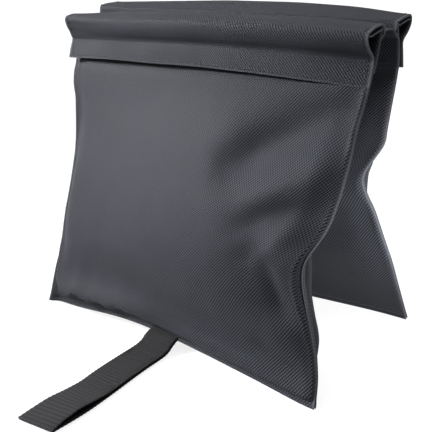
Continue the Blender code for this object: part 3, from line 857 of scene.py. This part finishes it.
def flap_place(pouch):
    """Length of the flap's cloth, and the place of its inner face at (s, t)."""
    line = curve_through(flap_profile(pouch), 8)
    run = lengths_along(line)
    edge = TOP + GAP + pouch.flap_rise

    def place(s, t, out=0.0):
        x = s - WIDTH / 2
        d = np.interp(t, run, line[:, 0])
        z = np.interp(t, run, line[:, 1])
        slope_d = np.interp(t + 0.0004, run, line[:, 0]) - np.interp(t - 0.0004, run, line[:, 0])
        slope_z = np.interp(t + 0.0004, run, line[:, 1]) - np.interp(t - 0.0004, run, line[:, 1])
        size = np.maximum(np.hypot(slope_d, slope_z), 1e-9)
        below = np.maximum(edge - z, 0)
        z = z + flap_top_rise(pouch, x, smooth((t - 0.0055) / 0.020)) * (1 - smooth(below / 0.024))
        z = z + follow(pouch.hem, x) * smooth((below - 0.010) / 0.020)
        d = d + band_push(pouch, x, t, d, below)
        d = d - slope_z / size * out
        z = z + slope_d / size * out
        return x + pouch.shift, SADDLE_Y + pouch.side * d, z

    return run[-1], place


def flap_lining(pouch):
    top = TOP + GAP
    edge = top + pouch.flap_rise
    line = np.array([(FLAP_START - 0.0002, top - 0.0012), (FLAP_START + 0.0020, top - 0.0025),
                     (FLAP_OUT - 0.0050, edge - 0.0027), (FLAP_OUT - 0.0014, edge - 0.0023)])

    def place(s, t):
        x = s - WIDTH / 2
        d = np.interp(t, LINING_STOPS, line[:, 0])
        z = np.interp(t, LINING_STOPS, line[:, 1])
        z = z + flap_top_rise(pouch, x, smooth(t / LINING_STOPS[-1]))
        return x + pouch.shift, SADDLE_Y + pouch.side * d, z

    lining = cloth_sheet(f"{pouch.name}_flap_lining", stations(WIDTH, 0.0030),
                         np.linspace(0, LINING_STOPS[-1], 14), place, CANVAS, CLOTH, pouch.side)
    finished(lining, "canvas", f"{pouch.name}_flap")
    return lining


def flap(pouch):
    length, place = flap_place(pouch)
    name = f"{pouch.name}_flap"
    along = np.concatenate([np.arange(0, 0.012, 0.0006), np.linspace(0.012, length, 80)])
    cover = cloth_sheet(f"{name}_cloth", stations(WIDTH, 0.0022), along, place, CANVAS, FLAP_CLOTH,
                        pouch.side)
    finished(cover, "canvas", None, name)
    lining = flap_lining(pouch)
    band_stitches(pouch, length, place)
    lap_stitches(pouch, place)
    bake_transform(cover)


def band_stitches(pouch, length, place):
    """The row down one side of the band, along its hem and up the other side."""
    hem = length - HEM_STITCH_IN
    across = np.arange(BAND_STITCH_IN, WIDTH - BAND_STITCH_IN, 0.0015)
    up = np.arange(hem, 0.020, -0.0015)
    sides = np.full(len(up), BAND_STITCH_IN)
    s = np.concatenate([sides, across, WIDTH - sides])
    t = np.concatenate([up[::-1], np.full(len(across), hem), up])
    line = points(*place(s, t, FLAP_CLOTH + 0.0001))
    row = stitches(f"{pouch.name}_flap_stitches", line, (0, pouch.side, 0.1), THREAD, radius=0.00024)
    finished(row, "thread", f"{pouch.name}_flap", f"{pouch.name}_flap_thread")


def lap_stitches(pouch, place):
    """The row that holds the flap's sewn edge."""
    across = np.arange(BAND_STITCH_IN, WIDTH - BAND_STITCH_IN, 0.0015)
    line = points(*place(across, np.full(len(across), 0.0008), FLAP_CLOTH + 0.0001))
    row = stitches(f"{pouch.name}_flap_lap_stitches", line, (0, -pouch.side, 0), THREAD)
    finished(row, "thread", f"{pouch.name}_pouch")


# ---- saddle strip ----


def strip_half(pouch):
    """Half of the saddle strip: level across the middle, then down onto the pouch's inner cloth."""
    under = STRIP_TOP - CLOTH
    name = f"{pouch.name}_saddle_strip"

    def place(s, t):
        x, _, _ = middle_sheet(pouch, s, np.full(s.shape, TOP))
        legs = []
        for drop in STRIP_DROPS:
            _, y, _ = inner_face(pouch, s, np.full(s.shape, TOP - drop), CLOTH + GAP / 3)
            legs.append(pouch.side * (y - SADDLE_Y))
        distances = [0 * s, 0 * s + STRIP_BEND, 0 * s + 0.0049, 0 * s + 0.0058, *legs]
        heights = [under, under, under - 0.0007, under - 0.0020, *[TOP - drop for drop in STRIP_DROPS]]
        d = sum_along(t, STRIP_STOPS, distances)
        z = np.interp(t, STRIP_STOPS, heights)
        return x - pouch.shift * (1 - smooth(t / 0.006)), SADDLE_Y + pouch.side * d, z

    along = np.linspace(0, STRIP_STOPS[-1], 30)
    half = cloth_sheet(name, stations(WIDTH, 0.0040), along, place, CANVAS, CLOTH, pouch.side, 0.0)
    finished(half, "canvas", None, *(["saddle_strip"] if pouch is FRONT else []))
    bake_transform(half)
    across = np.arange(0.004, WIDTH - 0.004, 0.0015)
    height = np.full(across.shape, TOP - STRIP_DROPS[-1] + 0.0030)
    line = points(*inner_face(pouch, across, height, 2 * CLOTH + 0.0002))
    row = stitches(f"{pouch.name}_saddle_stitches", line, (0, -pouch.side, 0), THREAD)
    finished(row, "thread", f"{pouch.name}_pouch", f"{pouch.name}_saddle_thread")


# ---- closures and filling ----


def loop_tape(pouch):
    low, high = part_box(f"{pouch.name}_loop_tape")
    foot = mouth(pouch) - (high.z - low.z) + 0.0030

    def place(s, t):
        return outer_face(pouch, s + TAPE_INSET, t + foot, CLOTH + 0.0002)

    tape = cloth_sheet(f"{pouch.name}_loop_tape_pile", np.linspace(0, TAPE_WIDTH, 200),
                       np.linspace(0, LOOP_HEIGHT, 9), place, TAPE, LOOP_TAPE, -pouch.side)
    finished(tape, "hook_and_loop", f"{pouch.name}_pouch", f"{pouch.name}_loop_tape")


def hook_tape(pouch):
    """Woven base with rows of small hooks, inside the flap's band."""
    length, flap_face = flap_place(pouch)
    start = length - 0.0112

    def place(s, t):
        return flap_face(s + TAPE_INSET, start + t, -0.0001)

    tape = cloth_sheet(f"{pouch.name}_hook_tape_base", np.linspace(0, TAPE_WIDTH, 160),
                       np.linspace(0, HOOK_HEIGHT, 8), place, TAPE, HOOK_TAPE, -pouch.side)
    finished(tape, "hook_and_loop", f"{pouch.name}_flap", f"{pouch.name}_hook_tape")
    s, t = np.meshgrid(np.arange(TAPE_INSET + 0.0015, WIDTH - TAPE_INSET - 0.0015, 0.0015),
                       start + np.arange(0.0010, 0.0090, 0.0013))
    vertices, faces = [], []
    for foot, tip in zip(points(*flap_face(s, t, -0.0004)), points(*flap_face(s, t, -0.0011))):
        first = len(vertices)
        for centre, reach in ((foot, 0.00022), (tip, 0.00030)):
            for k in range(4):
                angle = math.pi / 2 * k
                vertices.append(centre + np.array([reach * math.cos(angle), 0, reach * math.sin(angle)]))
        for k in range(4):
            faces.append((first + k, first + (k + 1) % 4, first + 4 + (k + 1) % 4, first + 4 + k))
        faces.append((first + 3, first + 2, first + 1, first))
        faces.append((first + 4, first + 5, first + 6, first + 7))
    hooks = new_piece(f"{pouch.name}_hooks", vertices, faces, TAPE)
    finished(hooks, "hook_and_loop", f"{pouch.name}_flap")


def filling(pouch, name, node, look, slot, clearance, inset, top, crumple, seed):
    """A closed block in the pouch's hollow, clearance inside its cloths: a film bag or the sand."""
    s, t = np.meshgrid(np.linspace(inset, WIDTH - inset, 60), np.linspace(inset, top, 44))
    x, outer, z = outer_face(pouch, s, t)
    _, inner, _ = inner_face(pouch, s, t)
    middle, half = (outer + inner) / 2, np.abs(outer - inner) / 2 - clearance
    ends = np.minimum(s - inset, WIDTH - inset - s)
    rise = np.minimum(t - inset, np.maximum(top - t, 0.004))
    half = np.maximum(half, 0.0006) * np.sqrt(np.clip(np.minimum(ends, rise) / 0.010, 0.02, 1))
    half = half * (1 - crumple * (0.5 + 0.5 * ripple(x, z, 0.012, seed)))
    sheets = [points(x, middle + turn * half, z) for turn in (-1, 1)]
    block = new_piece(name, np.vstack(sheets), slab_faces(*s.shape), look)
    finished(block, slot, f"{pouch.name}_pouch", node)
    return block


def liner(pouch):
    filling(pouch, f"{pouch.name}_liner_film", f"{pouch.name}_liner_bag", FILM, "liner_film",
            clearance=0.0012, inset=0.0300, top=0.150, crumple=0.12, seed=21 + pouch.side)


def sand(pouch):
    block = filling(pouch, f"{pouch.name}_sand", f"{pouch.name}_sand_fill", SAND, "sand",
                    clearance=0.0026, inset=0.0400, top=0.124, crumple=0.10, seed=31 + pouch.side)


# ---- handle ----


def handle_profile():
    """Middle line of the doubled webbing, as (distance, height)."""
    low, high = WEBBING / 2, WEBBING * 1.5 + GAP
    root = HANDLE_START_Z + 0.0010
    turn = (high - low) / 2
    end = HANDLE_END - WEBBING / 2 - turn
    lower = [(HANDLE_START - 0.0070, root), (HANDLE_START - 0.0010, root - 0.0008),
             (HANDLE_START + 0.004, root - 0.0030), (HANDLE_START + 0.009, low + 0.0012),
             (HANDLE_DOWN - 0.001, low), (HANDLE_DOWN + 0.02, low), (end - 0.02, low), (end - 0.002, low)]
    angles = np.radians(range(-60, 61, 30))
    fold = [(end + turn * math.cos(angle), low + turn + turn * math.sin(angle)) for angle in angles]
    upper = [(end - 0.002, high + 0.0002), (end - 0.010, high + 0.0018), (end - 0.020, high + 0.0028),
             (end - 0.031, high + 0.0018), (end - 0.044, high + 0.0006), (end - 0.056, high + 0.0007),
             (end - 0.067, high + 0.0005), (HANDLE_DOWN + 0.018, high + 0.0002),
             (HANDLE_DOWN + 0.001, high + 0.0002), (HANDLE_START + 0.010, high + 0.0014),
             (HANDLE_START + 0.005, root - 0.0008), (HANDLE_START - 0.0010, root + 0.0012),
             (HANDLE_START - 0.0070, root + 0.0018)]
    return np.array(lower + fold + upper)


def handle_strap():
    """Real cross ribs: the webbing's faces rise and dip, and its edges follow them."""
    line = curve_through(handle_profile(), 12)
    run = lengths_along(line)
    along = np.arange(0, run[-1], RIB_PITCH / 8)
    across = np.concatenate([[-1, -0.985, -0.95], np.linspace(-0.9, 0.9, 19), [0.95, 0.985, 1]])
    s, t = np.meshgrid(across, along)
    d, z = np.interp(t, run, line[:, 0]), np.interp(t, run, line[:, 1])
    ahead, behind = np.clip(t + 0.0006, 0, run[-1]), np.clip(t - 0.0006, 0, run[-1])
    slope_d = np.interp(ahead, run, line[:, 0]) - np.interp(behind, run, line[:, 0])
    slope_z = np.interp(ahead, run, line[:, 1]) - np.interp(behind, run, line[:, 1])
    size = np.hypot(slope_d, slope_z)
    out_d, out_z = -slope_z / size, slope_d / size
    edge = np.sqrt(np.clip(1 - np.abs(s) ** 14, 0, 1))
    rib = RIB_HEIGHT * np.sin(2 * math.pi * t / RIB_PITCH)
    twist = 0.0007 * s * smooth((d - 0.120) / 0.040) * (z > WEBBING) * smooth((HANDLE_END - d) / 0.012)
    skew = HANDLE_SKEW * (1 - s) / 2 * smooth((d - 0.140) / 0.040)
    x = s * (HANDLE_WIDTH / 2 + 0.8 * rib) + follow(HANDLE_BOW, d) - 0.35 * skew
    sheets = []
    for turn in (1, -1):
        half = turn * (WEBBING / 2 - 0.00020) * (0.12 + 0.88 * edge) + rib * edge * turn
        y = SADDLE_Y - (d + out_d * half + skew)
        sheets.append(points(x, y, z + out_z * half + twist))
    faces = [face[::-1] for face in slab_faces(*s.shape)]
    places = points(s * HANDLE_WIDTH / 2, t)
    strap = new_piece("handle_strap", np.vstack(sheets), faces, WEBBING_LOOK, np.vstack([places, places]))
    finished(strap, "webbing", None, "handle_webbing")
    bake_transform(strap)


def handle_box_stitches():
    reach = HANDLE_WIDTH / 2 - 0.003
    near, far = HANDLE_DOWN + 0.003, HANDLE_DOWN + 0.018
    corners = [(-reach, near), (reach, near), (reach, far), (-reach, far), (-reach, near)]
    box = [(x, SADDLE_Y - d, 2 * WEBBING + GAP) for x, d in corners]
    row = stitches("handle_box_stitches", np.array(box), (0, 0, 1), THREAD, pitch=0.0026, length=0.0020)
    finished(row, "thread", "handle", "handle_stitch")


# ---- stage ----


def staged(name, vertices, faces):
    mesh = bpy.data.meshes.new(name)
    mesh.from_pydata(vertices, [], faces)
    mesh.materials.append(floor_look())
    made = bpy.data.objects.new(name, mesh)
    bpy.context.scene.collection.objects.link(made)
    return made


def floor():
    reach = FLOOR_REACH
    corners = [(-reach, -reach, 0), (reach, -reach, 0), (reach, reach, 0), (-reach, reach, 0)]
    plane = staged("floor", corners, [(0, 1, 2, 3)])
    plane.location.z = min(0.0, CAD_LOW.z) - 0.0004


def backdrop():
    """A far pale wall round the floor, seen by the camera only, so that it changes no light."""
    sides = BACKDROP_SIDES
    turns = [2 * math.pi * k / sides for k in range(sides)]
    ring = [(BACKDROP_RADIUS * math.cos(turn), BACKDROP_RADIUS * math.sin(turn)) for turn in turns]
    vertices = [(x, y, z) for z in (-0.01, BACKDROP_HEIGHT) for x, y in ring]
    faces = [(k, (k + 1) % sides, sides + (k + 1) % sides, sides + k) for k in range(sides)]
    wall = staged("backdrop", vertices, faces)
    wall.visible_diffuse = False
    wall.visible_glossy = False
    wall.visible_transmission = False
    wall.visible_shadow = False


def soft_light(name, towards, strength, spread):
    """Even light across the whole floor, from a wide patch of sky opposite to towards."""
    light = bpy.data.lights.new(name, "SUN")
    light.energy = strength
    light.angle = math.radians(spread)
    lamp = bpy.data.objects.new(name, light)
    lamp.rotation_euler = Vector(towards).to_track_quat("-Z", "Y").to_euler()
    bpy.context.scene.collection.objects.link(lamp)


def softbox(name, place, aim, size, energy, spread):
    """A square lamp, unseen by the camera, whose light fades out at half of spread from its aim."""
    light = bpy.data.lights.new(name, "AREA")
    light.size = size
    light.energy = energy
    light.spread = math.radians(spread)
    lamp = bpy.data.objects.new(name, light)
    lamp.location = place
    lamp.rotation_euler = (Vector(aim) - Vector(place)).to_track_quat("-Z", "Y").to_euler()
    lamp.visible_camera = False
    bpy.context.scene.collection.objects.link(lamp)


def studio():
    world = bpy.data.worlds.new("studio")
    world.use_nodes = True
    world.node_tree.nodes["Background"].inputs["Color"].default_value = (1, 1, 1, 1)
    world.node_tree.nodes["Background"].inputs["Strength"].default_value = WORLD
    bpy.context.scene.world = world
    bpy.context.scene.view_settings.view_transform = "Standard"
    softbox("key", (-0.64, -0.48, 0.58), (-0.048, 0.0, 0.128), 0.30, KEY, 31)
    soft_light("top", (0.1, -0.04, -1.0), TOP_LIGHT, 80)
    softbox("fill", (0.24, 0.01, 0.10), (0.115, 0.10, 0.085), 0.08, FILL, 90)


def camera():
    made = bpy.data.cameras.new("camera")
    made.sensor_width = 36.0
    made.lens = 55.5
    seat = bpy.data.objects.new("camera", made)
    seat.location = (0.2864, -0.386 + SADDLE_Y, 0.2492)
    seat.rotation_euler = (math.radians(90 - 19.35), 0, math.radians(36.8))
    bpy.context.scene.collection.objects.link(seat)
    bpy.context.scene.camera = seat


CANVAS = canvas_look()
WEBBING_LOOK = webbing_look()
THREAD = thread_look()
TAPE = tape_look()
FILM = film_look()
SAND = sand_look()

for pouch in (FRONT, REAR):
    outer_panel(pouch)
    inner_panel(pouch)
    seam_stitches(pouch)
    flap(pouch)
    strip_half(pouch)
    loop_tape(pouch)
    hook_tape(pouch)
    liner(pouch)
    sand(pouch)
handle_strap()
handle_box_stitches()
floor()
backdrop()
studio()
camera()
